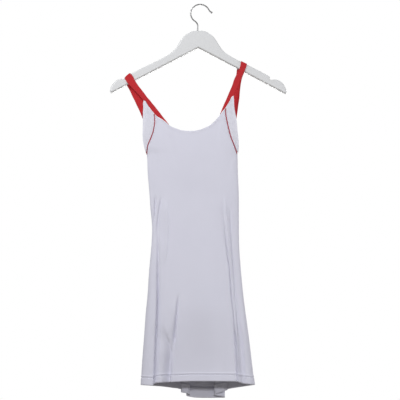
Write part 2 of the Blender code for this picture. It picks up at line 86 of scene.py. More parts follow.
# How finely the cloth is divided
COLUMN_STEP = 2.2
COLUMN_TRIES = 4001
SKIRT_STEP = 4.0
HEM_STEP = 2.5
HEM_SEAM_STEP = 0.7
HEM_SEAM_REACH = 7.0
BODICE_STEP = 2.0
SIDE_FRONT_STEP = 1.5
PANEL_CLEARANCE = 0.7
SIDE_FRONT_CLEARANCE = 0.5
LINE_STEP = 2.0
PIPING_STEP = 1.2
SIDE_FRONT_REACH = 88.0
ANGLE_TO_MM = 2.1

# Straps
STRAP_CLOTH = 1.3
STRAP_CROWN = 0.35
STRAP_CROWN_FLATNESS = 6
STRAP_FOLD_RISE = 4.0
STRAP_FOLD_SQUARENESS = 3.0
STRAP_FOLD_STEPS = 14
STRAP_COLUMNS = 16
STRAP_STEP = 2.24
STRAP_SETTLING = 15.0

# Sewing: the stitches, their distances from the edges and seams, and how far they stand out
STITCH = 2.6
STITCH_PITCH = 3.3
THREAD_RADIUS = 0.22
EDGE_STITCHES = (2.0, 4.8)
HEM_STITCHES = (0.8, 4.2)
HEM_STITCH_REACH = 88.5
HEM_STITCH_PLACES = 700
PIPING_STITCH = 3.4
STRAP_SEAM_STITCH = 2.4
STRAP_EDGE_STITCH = 2.2
STRAP_STITCH_WIDTH = 9.0
STITCH_LIFT = 0.3
HEM_STITCH_LIFT = 0.4
STRAP_STITCH_LIFT = 0.05

# The four rings of a stitch: how far along its length, how thick, and how high in radii
BEAD_RINGS = [(-0.5, 0.35, -0.5), (-0.3, 1.0, 0.3), (0.3, 1.0, 0.3), (0.5, 0.35, -0.5)]

# The fine knit's holes
MESH_PITCH = 2.2
MESH_ROW = 1.1

# Hanger
HANGER_CENTRE_X = -4.0
HANGER_DEPTH = 12.0
HANGER_EDGE_RADIUS = 4.2
HANGER_EDGE_STEPS = 6
HANGER_ARM_STEP = 3.0
HANGER_UNDER_STEP = 12.0
HANGER_SHARP_ANGLE = math.radians(40)
HANGER_TILT = math.radians(0.25)
HANGER_APEX = -113.6
HANGER_APEX_HALF_WIDTH = 6.0
HANGER_LOWER_SLOPE = 0.53
HOOK_WIRE_RADIUS = 1.65
HOOK_RADIUS = 24.3
HOOK_ARC_START = 238
HOOK_ARC_END = 26
HOOK_ARC_STEP = 7
HOOK_STEP = 1.2
HOOK_STEM_X = -6.4
HOOK_STEM = [
    (HOOK_STEM_X, -89), (HOOK_STEM_X, -75), (HOOK_STEM_X, -57), (-6.5, -53.5), (-7.3, -50.4),
    (-9.5, -46.9),
]
HOOK_END = [(23.2, -14.2), (25.6, -17), (28.3, -19.2), (29.8, -20.3), (31.2, -21.3)]
HOOK_END_WIDTHS = [1.0, 1.0, 1.3, 1.45, 1.1]
HOOK_END_TOP = -12.0

# The camera stands level with the hem and looks up a little
CAMERA_PLACE = (-0.000513, -3.0, -0.999573)
CAMERA_TILT = math.radians(9.330754)
CAMERA_LENS = 109.55
FLOOR_HEIGHT = -2.75
FLOOR_HALF_WIDTH = 12.0
FLOOR_SEEN = (0.8, 0.8, 0.79, 1.0)
WHITE = (1.0, 1.0, 1.0, 1.0)
SURROUND_GLOW = 0.24

# The soft lights: where each stands and what it aims at, its width and height, and its power in watts
LIGHTS = [
    ("left_box", (-1.15, -1.05, 0.8), (0, 0, -0.15), (0.6, 0.6), 21),
    ("left_side", (-1.9, -0.4, -0.6), (0, 0, -0.8), (0.6, 0.8), 1.8),
    ("right_side", (1.9, -0.4, -0.1), (0, 0, -0.5), (0.7, 1.4), 15),
    ("low_box", (0.1, -2.2, -0.5), (0, 0, -0.8), (0.3, 0.14), 15.5),
    ("back_box", (0.4, 2.4, -0.1), (0, 0, -0.5), (1.4, 1.2), 42),
]

# The dress from the front and the side: the edges of its outline, and how far the outer faces of the front
# and the back stand from the middle plane, at their own edges and in the middle. Below the underarms the
# edges are side seams.
Level = namedtuple("Level", "height left right front_edge front_middle back_edge back_middle")
LEVELS = [Level(*row) for row in [
    (-150, -205, 135, 7.7, 7.7, 7.7, 7.7), (-200, -202, 120, 7.7, 8.2, 7.7, 8.2),
    (-253, -160, 105, 7.2, 12, 7.6, 11), (-300, -156, 101, 5.8, 16, 6.6, 14),
    (-343, -151, 100, 4.2, 19, 4.8, 17), (-374, -143.5, 98.3, 2.2, 20.5, 2.4, 18.5),
]]
LEVELS += [
    Level(height, left, right, SIDE_SEAM_EDGE, front, SIDE_SEAM_EDGE, back)
    for height, left, right, front, back in [
        (-394, -133.6, 93.9, 21, 19), (-436, -131.6, 94.4, 21, 19), (-486, -127.2, 96.2, 21, 19),
        (-522, -124.6, 96.5, 22, 20), (-582, -119.5, 96.3, 24, 23), (-617, -120.8, 96.6, 26, 25),
        (-680, -126, 100.5, 30, 30), (-747, -130, 106.5, 35, 36), (-786, -133.6, 111.3, 38, 39),
        (-845, -137.5, 119, 41, 44), (-922, -142.8, 128, 43, 50), (-962, -144.6, 133.3, 47, 52),
    ]
]

# The broad valleys of the skirt, close to those of the solids: where each starts, its way to the hem, how
# deep it is there, and how wide its left and right slopes are.
Valley = namedtuple("Valley", "start_z start_x middle_x hem_x depth left_width right_width")
FRONT_VALLEYS = [
    Valley(-560, -105, -103, -109, 9, 4, 8),
    Valley(-735, -52, -60.5, -74, 7, 18, 3.5),
    Valley(-545, 64, 83, 101, 8, 12, 10),
]
BACK_VALLEYS = [
    Valley(-520, -92, -94, -100, 12, 9, 12),
    Valley(-560, 78, 88, 100, 12, 12, 9),
]

# Finer creases on top of them. Each runs through its places, as height and x, from the top down. Its depth
# is inwards, so that a negative one is a ridge. fade_in and fade_out are the lengths over which it starts
# and ends, and one whose fade_out is 0 runs out through the hem.
Crease = namedtuple("Crease", "places depth left_width right_width fade_in fade_out")
FRONT_CREASES = [Crease(*row) for row in [
    ([(-494, -111), (-530, -112), (-575, -114.5)], 4.0, 2.2, 3.0, 20, 35),
    ([(-498, -97), (-566, -105), (-610, -106.5)], 3.6, 2.0, 3.0, 25, 40),
    ([(-500, -87), (-535, -83), (-566, -81), (-623, -82.5), (-680, -87)], -3.2, 15, 2.2, 40, 50),
    ([(-580, -105), (-685, -104.5), (-747, -104), (-808, -106), (-868, -109),
      (-961, -112)], 3.7, 1.6, 2.4, 50, 0),
    ([(-580, -98), (-640, -98), (-700, -97.5), (-770, -96)], -2.4, 3.5, 8, 40, 50),
    ([(-650, -119), (-750, -120), (-856, -124), (-961, -127)], -1.5, 8, 6, 120, 0),
    ([(-738, -51), (-760, -53), (-808, -56.8), (-840, -60.5), (-880, -64)], 5.0, 4, 1.5, 35, 40),
    ([(-745, -64), (-800, -69), (-850, -75)], -1.6, 7, 6, 40, 30),
    ([(-815, -92), (-845, -82), (-868, -73.5), (-886, -70.5), (-919, -72),
      (-961, -72.5)], 7, 22, 2, 45, 0),
    ([(-880, -73), (-919, -74), (-961, -74.5)], 1.6, 5, 2.0, 36, 0),
    ([(-530, 57), (-566, 60), (-623, 65.2), (-685, 72), (-747, 76), (-808, 81.8), (-868, 85.6),
      (-919, 88), (-961, 89)], 5.4, 1.7, 3.0, 170, 0),
    ([(-825, 82), (-868, 84.2), (-919, 86.4), (-961, 87.6)], 3.6, 1.6, 6, 30, 0),
    ([(-488, 60), (-530, 63), (-566, 66), (-623, 70.4), (-685, 75.4), (-747, 80), (-808, 85),
      (-860, 90)], -4.2, 4.4, 3.0, 50, 50),
    ([(-515, 70), (-560, 72.6), (-623, 75.2), (-685, 80.5), (-747, 84)], 2.4, 2.2, 3.0, 40, 60),
    ([(-690, 81), (-747, 83.4), (-808, 88.4), (-868, 99.5), (-961, 104)], 2.2, 3.5, 4.5, 60, 0),
    ([(-830, 94), (-961, 97)], 2.5, 5, 9, 50, 0),
    ([(-760, 104), (-856, 110), (-961, 119)], -3.5, 9, 12, 80, 0),
    ([(-770, -2), (-880, -8), (-961, -14)], 9.0, 50, 56, 140, 0),
    ([(-560, 6), (-700, 12), (-860, 20)], -1.2, 30, 26, 90, 90),
    ([(-650, -30), (-760, -34), (-900, -38)], 1.0, 16, 20, 80, 60),
    ([(-640, 38), (-760, 46), (-961, 54)], 1.0, 16, 12, 80, 0),
    ([(-276, -133), (-292, -129), (-312, -123)], 1.0, 1.6, 4.0, 10, 14),
    ([(-284, -137), (-306, -131), (-330, -127)], -0.8, 3.0, 2.0, 14, 18),
    ([(-372, -118), (-402, -108), (-440, -99)], 0.9, 5, 7, 20, 25),
    ([(-330, -84), (-372, -72), (-430, -62)], 0.6, 8, 10, 25, 40),
    ([(-300, 48), (-350, 40), (-420, 36)], 0.6, 9, 8, 25, 50),
    ([(-385, 84), (-425, 74), (-470, 68)], 0.8, 7, 5, 22, 30),
    ([(-420, -70), (-500, -62), (-590, -58)], 0.9, 14, 16, 50, 60),
    ([(-430, 24), (-520, 28), (-610, 34)], 0.8, 14, 12, 50, 60),
    ([(-455, -118), (-500, -114), (-540, -113)], 0.9, 4, 6, 25, 25),
]]
BACK_CREASES = [Crease(*row) for row in [
    ([(-520, -98), (-600, -96), (-720, -94), (-850, -97), (-961, -101)], 3.4, 3, 4.5, 50, 0),
    ([(-560, -80), (-680, -78), (-820, -80)], -2.6, 8, 10, 60, 60),
    ([(-575, 82), (-690, 87), (-820, 93), (-961, 101)], 3.4, 4.5, 2.6, 50, 0),
    ([(-540, 60), (-640, 66), (-760, 72), (-880, 80)], 2.0, 6, 4, 50, 50),
    ([(-600, 72), (-700, 77), (-800, 82)], -2.2, 5, 5, 50, 50),
    ([(-540, -60), (-640, -64), (-780, -70)], 1.8, 4, 7, 50, 60),
    ([(-700, -110), (-820, -113), (-961, -118)], -2.4, 7, 6, 70, 0),
    ([(-720, 108), (-840, 113), (-961, 120)], -2.2, 7, 6, 70, 0),
    ([(-372, -108), (-410, -96), (-460, -84)], 1.0, 6, 8, 22, 35),
    ([(-330, 78), (-380, 64), (-450, 54)], 0.9, 8, 7, 25, 45),
    ([(-390, -30), (-450, -26), (-540, -24)], 0.8, 16, 14, 30, 60),
    ([(-400, 24), (-470, 20), (-560, 18)], 0.7, 14, 16, 30, 60),
    ([(-470, -108), (-520, -104), (-580, -102)], 1.3, 4, 6, 30, 30),
    ([(-480, 84), (-540, 82), (-600, 84)], 1.2, 6, 4, 30, 35),
]]

# Heights of the hem. The place across is 0 in the middle, -1 and 1 at the side seams.
HemPoint = namedtuple("HemPoint", "across height")
FRONT_HEM = [HemPoint(*row) for row in [
    (-1, -963.5), (-0.79, -965), (-0.73, -959), (-0.5, -957), (0, -955), (0.66, -955.5), (0.82, -961),
    (1, -963),
]]

# The box pleat at the hem: where a place across the flat back goes, sideways and backwards from the
# back's own depth, and how low it hangs. PLEAT_SETTLING is how far beside it the back is drawn along.
PleatPoint = namedtuple("PleatPoint", "across hem_x hem_back hem_z")
PLEAT = [PleatPoint(*row) for row in [
    (-0.375, -54, -1, -972), (-0.345, -44.5, -1.5, -974.5), (-0.325, -41.5, -5, -977),
    (-0.3, -46.5, -9.5, -980.5), (-0.265, -38, -13, -982.5), (-0.225, -30, -13.5, -984),
    (-0.205, -26.5, -10, -986), (-0.18, -29, -6, -986), (-0.155, -34, -2, -988), (-0.135, -32, 3, -990),
    (-0.1, -24, 6, -992), (-0.04, -8, 7, -994), (0.03, 10, 7, -994.5), (0.11, 32, 7, -994.5),
    (0.18, 52, 6, -994), (0.22, 60, 3, -994), (0.245, 60.5, -2, -993), (0.28, 48, -5, -990),
    (0.305, 38, -8, -988), (0.325, 35.5, -11, -986), (0.35, 41, -13, -984), (0.41, 56, -11, -979),
    (0.47, 68, -2, -975),
]]
PLEAT_SETTLING = 0.08
BACK_HEM = [
    HemPoint(-1, -963.5), HemPoint(-0.7, -966), *[HemPoint(p.across, p.hem_z) for p in PLEAT],
    HemPoint(0.8, -967), HemPoint(1, -963),
]

# Seams and edges as places seen from the front, x then height.
NECKLINE = [
    (-79, -318), (-71, -323), (-61, -327), (-51, -331), (-38, -333.3), (-26, -334), (-13, -333.2),
    (-1, -330.7), (12, -325.5), (25, -318.5), (33, -311.5), (41, -302.5), (50, -291.5),
]
LEFT_STRAP_SEAM = [
    (-143, -254), (-138, -255.3), (-133.5, -263.5), (-127.5, -273), (-120, -283), (-114, -290.7),
    (-107, -297), (-100, -301.3), (-92, -306.7), (-84.5, -313), (-79, -318),
]
RIGHT_STRAP_SEAM = [
    (84.5, -241.5), (80, -244.5), (75, -255), (69, -265), (62.5, -275.3), (57.5, -281), (53, -287),
    (50, -291.5),
]
LEFT_PIPING = [
    (-115.8, -289.6), (-114.4, -300), (-114.2, -311), (-116, -325), (-119.5, -340), (-123.5, -351),
    (-128, -361.5), (-131.6, -371), (-133.3, -382), (-134, -391),
]
RIGHT_PIPING = [
    (63.9, -274.8), (64.2, -287), (65.8, -300), (68.2, -312), (71, -325), (74, -338), (78, -351.5),
    (83.5, -365.5), (88.5, -379), (92.3, -390.5),
]
LEFT_ARMHOLE = [
    (-143, -254), (-144, -262), (-143.6, -271), (-144.2, -284), (-144.3, -300), (-144.3, -322),
    (-144.6, -343), (-143.1, -361), (-140.3, -374), (-137.2, -384), (-135.9, -388),
]
RIGHT_ARMHOLE = [
    (84.5, -241.5), (85.2, -250), (85.3, -261), (86.3, -274), (88.2, -286), (90.2, -298),
    (92, -312), (93.7, -330), (95.6, -351), (96.6, -367), (96.1, -381), (95.2, -387),
]
BACK_LEFT_ARMHOLE = [
    (-141, -309.2), (-139, -330), (-137.5, -350), (-136.3, -370), (-135.2, -384),
]
BACK_RIGHT_ARMHOLE = [
    (91, -301.2), (91.5, -325), (92.6, -350), (93, -370), (93, -384),
]
BACK_NECKLINE = [
    (-123, -304.2), (-113, -322), (-98, -341), (-79, -356), (-54, -367), (-23, -371.5), (8, -367),
    (34, -354), (53, -337), (67, -319), (76, -298.2),
]

# The two edges of each strap from the fold over the hanger down to the seam.
StrapRow = namedtuple("StrapRow", "neck_x neck_z outer_x outer_z")
LEFT_STRAP_FRONT = [StrapRow(*row) for row in [
    (-178.5, -180.5, -192.5, -193.5), (-171, -189, -187, -204), (-165, -201, -179, -214),
    (-157, -214, -170, -223.5), (-147, -227, -159, -235), (-139, -238, -150, -245.5),
    (-132.5, -247, -142.5, -253.4), (-128, -252, -138, -254.7), (-122, -260, -133.5, -263),
    (-115, -268.5, -127.5, -272.5), (-108, -278, -120, -282.5), (-101, -287, -114, -290.2),
    (-95, -295.5, -107, -296.5), (-90, -302, -100, -300.8), (-84.5, -309, -92, -306.2),
    (-80.5, -314.5, -84.5, -312.5), (-78.8, -317, -79.5, -316.8),
]]
LEFT_STRAP_BACK = [StrapRow(*row) for row in [
    (-178.5, -180.5, -192.5, -193.5), (-175, -192, -190.5, -200), (-170, -203, -186, -211),
    (-161, -215, -179, -223.5), (-152, -228, -173, -237), (-142.5, -241, -166.5, -250),
    (-134.5, -254.5, -160.5, -263), (-128.5, -270, -153.5, -277.5), (-125, -287, -147.5, -292),
    (-123, -303.7, -141, -308.7),
]]
RIGHT_STRAP_FRONT = [StrapRow(*row) for row in [
    (104, -149, 119, -156.5), (101.5, -165, 116, -168), (96, -178, 111, -179),
    (89.5, -190.5, 106.5, -191), (85, -201, 101.5, -204), (81, -214, 96, -217),
    (75.5, -227, 90, -229.5), (71.5, -236.5, 84.5, -240.9), (69, -243, 80, -243.9),
    (65, -252.5, 75, -254.4), (60.5, -263, 69, -264.4), (56.5, -272.5, 62.5, -274.7),
    (53.5, -280.3, 57.5, -280.4), (51.2, -287, 53, -286.4), (50.2, -290.4, 50.7, -290),
]]
RIGHT_STRAP_BACK = [StrapRow(*row) for row in [
    (104, -149, 119, -156.5), (97, -162, 116.5, -167), (93.5, -169, 113.5, -173.5),
    (92.5, -177, 109.5, -182.5), (91, -188, 106, -193), (88.5, -204, 103, -209), (86, -222, 101, -226),
    (84, -240, 99.5, -243), (82, -258, 97, -260), (79.5, -277, 94.5, -279), (76, -297.7, 91, -300.7),
]]

# What each side of the dress is made from. sign is that of its x, and fold_bulge is how far the strap
# bulges over the hanger.
Side = namedtuple("Side", "name sign armhole strap_seam piping strap_front strap_back fold_bulge")
SIDES = [
    Side("left", -1, LEFT_ARMHOLE, LEFT_STRAP_SEAM, LEFT_PIPING, LEFT_STRAP_FRONT, LEFT_STRAP_BACK, 1.6),
    Side("right", 1, RIGHT_ARMHOLE, RIGHT_STRAP_SEAM, RIGHT_PIPING, RIGHT_STRAP_FRONT,
         RIGHT_STRAP_BACK, 0.0),
]

# The right half of the hanger's outline, as distance from its middle and height: along the top to the
# notch, the foot of the notch, and round the tip.
HANGER_ARM = [
    (0, -68.9), (8, -69), (18, -71), (28, -76.8), (37, -83.5), (44, -92.5), (52, -105.5), (60, -118),
    (70, -128), (82, -136), (107, -149.8), (145, -168.8), (170, -182.4), (181.5, -189),
]
HANGER_NOTCH = (181.7, -197.3)
HANGER_TIP = [
    (197, -196.3), (204.6, -198.9), (213, -205), (218.5, -212.8), (222.2, -220.8), (223.6, -228.5),
    (221, -233.5),
]


def unit(rows):
    """Directions of length 1."""
    return rows / np.linalg.norm(rows, axis=-1, keepdims=True)


def lengths_along(rows):
    """How far along a path each of its places lies."""
    return np.concatenate([[0], np.cumsum(np.linalg.norm(np.diff(rows, axis=0), axis=1))])


def smoothstep(low, high, value):
    part = np.clip((value - low) / (high - low), 0, 1)
    return part * part * (3 - 2 * part)


def cubic(t, low, high, low_rise, high_rise):
    """A smooth run from one value to the next. The rises are what the slopes at its ends give over it."""
    start = low * (2 * t**3 - 3 * t**2 + 1) + low_rise * (t**3 - 2 * t**2 + t)
    return start + high * (3 * t**2 - 2 * t**3) + high_rise * (t**3 - t**2)


def smooth(wanted, places, values):
    """Values between given ones, on a smooth line that never swings past them."""
    places, values = np.asarray(places, float), np.asarray(values, float)
    steps = np.diff(places)
    rises = np.diff(values) / steps
    both = rises[:-1] * rises[1:]
    total = rises[:-1] + rises[1:]
    inner = np.where(both > 0, 2 * both / np.where(total == 0, 1, total), 0)
    slopes = np.concatenate([[rises[0]], inner, [rises[-1]]])
    wanted = np.clip(wanted, places[0], places[-1])
    i = np.clip(np.searchsorted(places, wanted, side="right") - 1, 0, len(steps) - 1)
    t = (wanted - places[i]) / steps[i]
    return cubic(t, values[i], values[i + 1], slopes[i] * steps[i], slopes[i + 1] * steps[i])


def smooth_down(heights, listed, values):
    """Values at heights between given ones, which are listed from the top down."""
    return smooth(-heights, [-height for height in listed], values)


def level(column, heights):
    """One column of LEVELS at some heights."""
    return smooth_down(heights, [row.height for row in LEVELS], [getattr(row, column) for row in LEVELS])


def middle_and_half(heights):
    left, right = level("left", heights), level("right", heights)
    return (left + right) / 2, (right - left) / 2


def angles_at(x, heights):
    """The angles round the body, in degrees, of places seen from the front."""
    middle, half = middle_and_half(heights)
    return np.degrees(np.arcsin(np.clip((x - middle) / half, -1, 1)))


def hem_heights(points, across, heights):
    """Where flat heights land once the hem's own line is taken into account."""
    lowest = smooth(across, *zip(*points))
    part = np.clip((HEM_ROWS_START - heights) / (HEM_ROWS_START - HEM_LEVEL), 0, None)
    return np.where(part > 0, HEM_ROWS_START + part * (lowest - HEM_ROWS_START), heights)


def groove(offset, left_width, right_width):
    """The share of its full depth that a soft groove has at some distance from its middle line."""
    width = np.where(offset < 0, left_width, right_width)
    return np.exp(-((offset / width) ** 2))


def valley_depths(valleys, x, heights):
    total = np.zeros_like(x)
    for valley in valleys:
        reach = np.clip((valley.start_z - heights) / (valley.start_z - HEM_LEVEL), 0, None)
        offset = x - smooth(reach, [0, 0.5, 1], [valley.start_x, valley.middle_x, valley.hem_x])
        strength = smoothstep(0, VALLEY_FULL_REACH, reach)
        total += valley.depth * strength * groove(offset, valley.left_width, valley.right_width)
    return total


def crease_depths(creases, x, heights):
    total = np.zeros_like(x)
    for crease in creases:
        listed, line = zip(*crease.places)
        strength = smoothstep(0, crease.fade_in, listed[0] - heights)
        if crease.fade_out:
            strength = strength * smoothstep(0, crease.fade_out, heights - listed[-1])
        offset = x - smooth_down(heights, listed, line)
        total += crease.depth * strength * groove(offset, crease.left_width, crease.right_width)
    return total


def body_depths(side, angles, heights):
    """How far the uncreased outer face stands from the middle plane."""
    edge, middle = level(side + "_edge", heights), level(side + "_middle", heights)
    return edge + (middle - edge) * np.clip(np.cos(angles), 0, None) ** SIDE_ROUNDING


def creased_face(side, angles_degrees, heights, valleys, creases):
    """The place across, from -1 to 1, with x and the distance from the middle plane."""
    angles = np.radians(angles_degrees)
    middle, half = middle_and_half(heights)
    across = np.sin(angles)
    x = middle + half * across
    creased = valley_depths(valleys, x, heights) + crease_depths(creases, x, heights)
    fade = np.clip(VALLEY_SIDE_FADE * np.cos(angles), 0, 1)
    return across, x, body_depths(side, angles, heights) - creased * fade


def front_place(angles, heights):
    across, x, depth = creased_face("front", angles, heights, FRONT_VALLEYS, FRONT_CREASES)
    return np.stack([x, -depth, hem_heights(FRONT_HEM, across, heights)], -1)


def back_place(angles, heights):
    across, x, depth = creased_face("back", angles, heights, BACK_VALLEYS, BACK_CREASES)
    places = [p.across for p in PLEAT]
    inside = smoothstep(places[0] - PLEAT_SETTLING, places[0], across)
    inside = inside * (1 - smoothstep(places[-1], places[-1] + PLEAT_SETTLING, across))
    opened = smoothstep(-PLEAT_TOP, -HEM_LEVEL, -heights) * inside
    x = x + opened * (smooth(across, places, [p.hem_x for p in PLEAT]) - x)
    depth = depth + opened * smooth(across, places, [p.hem_back for p in PLEAT])
    return np.stack([x, depth, hem_heights(BACK_HEM, across, heights)], -1)


def spaced(points, step=LINE_STEP):
    """Places spread evenly along a smooth curve through the points."""
    rows = np.array(points, float)
    along = lengths_along(rows)
    wanted = np.linspace(0, along[-1], max(2, round(along[-1] / step) + 1))
    slopes = np.gradient(rows, along, axis=0)
    i = np.clip(np.searchsorted(along, wanted, side="right") - 1, 0, len(rows) - 2)
    span = (along[i + 1] - along[i])[:, None]
    t = (wanted[:, None] - along[i][:, None]) / span
    return cubic(t, rows[i], rows[i + 1], slopes[i] * span, slopes[i + 1] * span)


def straight(points, step=LINE_STEP):
    """Places spread evenly along straight runs between the points, which stay corners."""
    rows = np.array(points, float)
    runs = []
    for low, high in zip(rows, rows[1:]):
        count = max(1, round(np.linalg.norm(high - low) / step))
        runs.append(low + (high - low) * np.linspace(0, 1, count, endpoint=False)[:, None])
    return np.concatenate(runs + [rows[-1:]])


def beside(points, distance):
    """The line moved sideways, to its left when seen along its way with x to the right and z up."""
    rows = np.array(points, float)
    ways = unit(np.gradient(rows, axis=0))
    return rows + distance * np.stack([-ways[:, 1], ways[:, 0]], -1)


def lowered(points):
    """The line moved down by the gap that a seam leaves."""
    return np.array(points, float) - (0, SEAM_GAP)


def corner_under(seam, x):
    """The place just under a strap's seam at x, seen from the front."""
    return lowered([(x, np.interp(x, *zip(*sorted(seam))))])


def between(points, low_x, high_x):
    return [p for p in points if low_x < p[0] < high_x]


def as_flat(points):
    """Places seen from the front as angles and heights."""
    rows = np.array(points, float)
    return np.stack([angles_at(rows[:, 0], rows[:, 1]), rows[:, 1]], -1)


def distance_to(points, line):
    """How far points lie from a line through places, in two or three dimensions."""
    nearest = np.full(len(points), np.inf)
    for low, high in zip(line, line[1:]):
        way = high - low
        length = max(float(way @ way), 1e-12)
        part = np.clip((points - low) @ way / length, 0, 1)
        nearest = np.minimum(nearest, np.linalg.norm(points - low - part[:, None] * way, axis=1))
    return nearest


def enclosed(points, outline):
    """Which points lie inside a closed outline."""
    inside = np.zeros(len(points), bool)
    for (x0, z0), (x1, z1) in zip(outline, np.roll(outline, -1, axis=0)):
        if z0 == z1:
            continue
        crosses = (z0 > points[:, 1]) != (z1 > points[:, 1])
        inside ^= crosses & (points[:, 0] < x0 + (points[:, 1] - z0) * (x1 - x0) / (z1 - z0))
    return inside


def fill_outline(outline, columns, rows, clearance):
    """Points and triangles of a flat outline with the crossings of columns and rows inside it."""
    stretch = np.array([ANGLE_TO_MM, 1.0])
    edge = outline * stretch
    grid = np.stack(np.meshgrid(columns, rows), -1).reshape(-1, 2) * stretch
    grid = grid[enclosed(grid, edge)]
    closed = np.concatenate([edge, edge[:1]])
    grid = grid[distance_to(grid, closed) > clearance]
    points = [Vector(p) for p in np.concatenate([edge, grid])]
    filled = delaunay_2d_cdt(points, [], [list(range(len(edge)))], 1, 1e-6)
    return np.array([tuple(p) for p in filled[0]]) / stretch, [list(face) for face in filled[2]]


def grid_faces(count, wide):
    """The squares of a grid of points that is given row by row."""
    return [
        [row * wide + i, row * wide + i + 1, (row + 1) * wide + i + 1, (row + 1) * wide + i]
        for row in range(count - 1)
        for i in range(wide - 1)
    ]


def even_columns(place):
    """Angles that lie evenly along the hem from one side seam to the other."""
    tries = np.linspace(-90, 90, COLUMN_TRIES)
    along = lengths_along(place(tries, np.full_like(tries, HEM_LEVEL)))
    return np.interp(np.linspace(0, along[-1], round(along[-1] / COLUMN_STEP)), along, tries)


def skirt_rows():
    """Heights from the hem to the underarms, closest at the hem's seam."""
    seam = HEM_LEVEL + HEM_DEPTH
    upper_count = round((UNDERARM - HEM_ROWS_START) / SKIRT_STEP)
    return np.concatenate([
        np.arange(HEM_LEVEL, seam - HEM_SEAM_REACH, HEM_STEP),
        np.arange(seam - HEM_SEAM_REACH, seam + HEM_SEAM_REACH, HEM_SEAM_STEP),
        np.arange(seam + HEM_SEAM_REACH, HEM_ROWS_START, HEM_STEP),
        np.linspace(HEM_ROWS_START, UNDERARM, upper_count),
    ])


def cut_panel(outline, columns):
    """A front or back: a plain grid below the underarms and a filled outline above them."""
    rows = skirt_rows()
    grid = np.stack(np.meshgrid(columns, rows), -1).reshape(-1, 2)
    base = np.stack([columns, np.full(len(columns), UNDERARM)], -1)
    above = np.arange(UNDERARM + BODICE_STEP, BODICE_TOP, BODICE_STEP)
    points, faces = fill_outline(np.concatenate([base, outline]), columns, above, PANEL_CLEARANCE)
    shifted = [[i + len(grid) for i in face] for face in faces]
    return np.concatenate([grid, points]), grid_faces(len(rows), len(columns)) + shifted


def outer_normals(place, flat, outward):
    """The outer face's direction at flat places. outward is -1 for the front and 1 for the back."""
    angles, heights = flat.T
    sideways = place(angles + 0.2, heights) - place(angles - 0.2, heights)
    upwards = place(angles, heights + 0.5) - place(angles, heights - 0.5)
    return unit(np.cross(sideways, upwards) * -outward)


def add_object(name, data):
    made = bpy.data.objects.new(name, data)
    bpy.context.scene.collection.objects.link(made)
    return made


def add_piece(name, mesh, finish, slot_name, *nodes):
    """Links a mesh, gives it its finish and smooth faces, puts it under the root body and hides the solids
    that it stands for.
    """
    piece = add_object(name, mesh)
    mesh.materials.append(finish)
    for face in getattr(mesh, "polygons", []):
        face.use_smooth = True
    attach(piece, "root")
    if nodes:
        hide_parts(*nodes)
    return piece


def cloth_mesh(name, points, faces, cut):
    """A mesh that keeps its cut for its finish: millimetres across, up and from the nearest edge."""
    mesh = bpy.data.meshes.new(name)
    mesh.from_pydata((points.reshape(-1, 3) * MM).tolist(), [], faces)
    layer = mesh.attributes.new("cut", "FLOAT_VECTOR", "POINT")
    layer.data.foreach_set("vector", np.stack(cut, -1).ravel())
    return mesh


def thicken(piece, thickness):
    """Gives cloth its wall, inwards from its outer face."""
    wall = piece.modifiers.new("Wall", "SOLIDIFY")
    wall.thickness = thickness * MM
    wall.offset = -1
    return wall


def relief(above_hem, from_edge):
    """How far the turned edges, the hem and the cloth over its seam stand out."""
    stands = EDGE_LIFT * (1 - smoothstep(EDGE_BAND - EDGE_SOFTNESS, EDGE_BAND + EDGE_SOFTNESS, from_edge))
    stands += HEM_LIFT * (1 - smoothstep(HEM_DEPTH - HEM_SOFTNESS, HEM_DEPTH, above_hem))
    stands -= HEM_GROOVE * np.exp(-(((above_hem - HEM_DEPTH) / HEM_GROOVE_WIDTH) ** 2))
    return stands + HEM_PUFF * np.exp(-(((above_hem - HEM_DEPTH - HEM_PUFF_RISE) / HEM_PUFF_WIDTH) ** 2))


def sew_cloth(name, flat, faces, place, outward, edges, finish, slot_name):
    """Lays cut cloth on the body and thickens it. edges are the flat lines of its finished edges."""
    points = place(*flat.T)
    from_edge = np.full(len(points), FAR_FROM_EDGE)
    for edge in edges:
        from_edge = np.minimum(from_edge, distance_to(points, place(*edge.T)))
    stands = relief(flat[:, 1] - HEM_LEVEL, from_edge)
    points = points + stands[:, None] * outer_normals(place, flat, outward)
    mesh = cloth_mesh(name, points, faces, [flat[:, 0] * ANGLE_TO_MM, flat[:, 1], from_edge])
    work = bmesh.new()
    work.from_mesh(mesh)
    bmesh.ops.remove_doubles(work, verts=work.verts[:], dist=0.01 * MM)
    if outward > 0:
        bmesh.ops.reverse_faces(work, faces=work.faces[:])
    work.to_mesh(mesh)
    work.free()
    piece = add_piece(name + "_cloth", mesh, finish, slot_name, name)
    wall = thicken(piece, HEM_CLOTH)
    cut = np.zeros(len(mesh.vertices) * 3, np.float32)
    mesh.attributes["cut"].data.foreach_get("vector", cut)
    in_hem = cut.reshape(-1, 3)[:, 1] < HEM_LEVEL + HEM_DEPTH
    piece.vertex_groups.new(name="hem").add(np.flatnonzero(in_hem).tolist(), 1.0, "REPLACE")
    wall.vertex_group = "hem"
    wall.thickness_vertex_group = CLOTH / HEM_CLOTH
    return piece


def front_neckline():
    return spaced(lowered(NECKLINE))


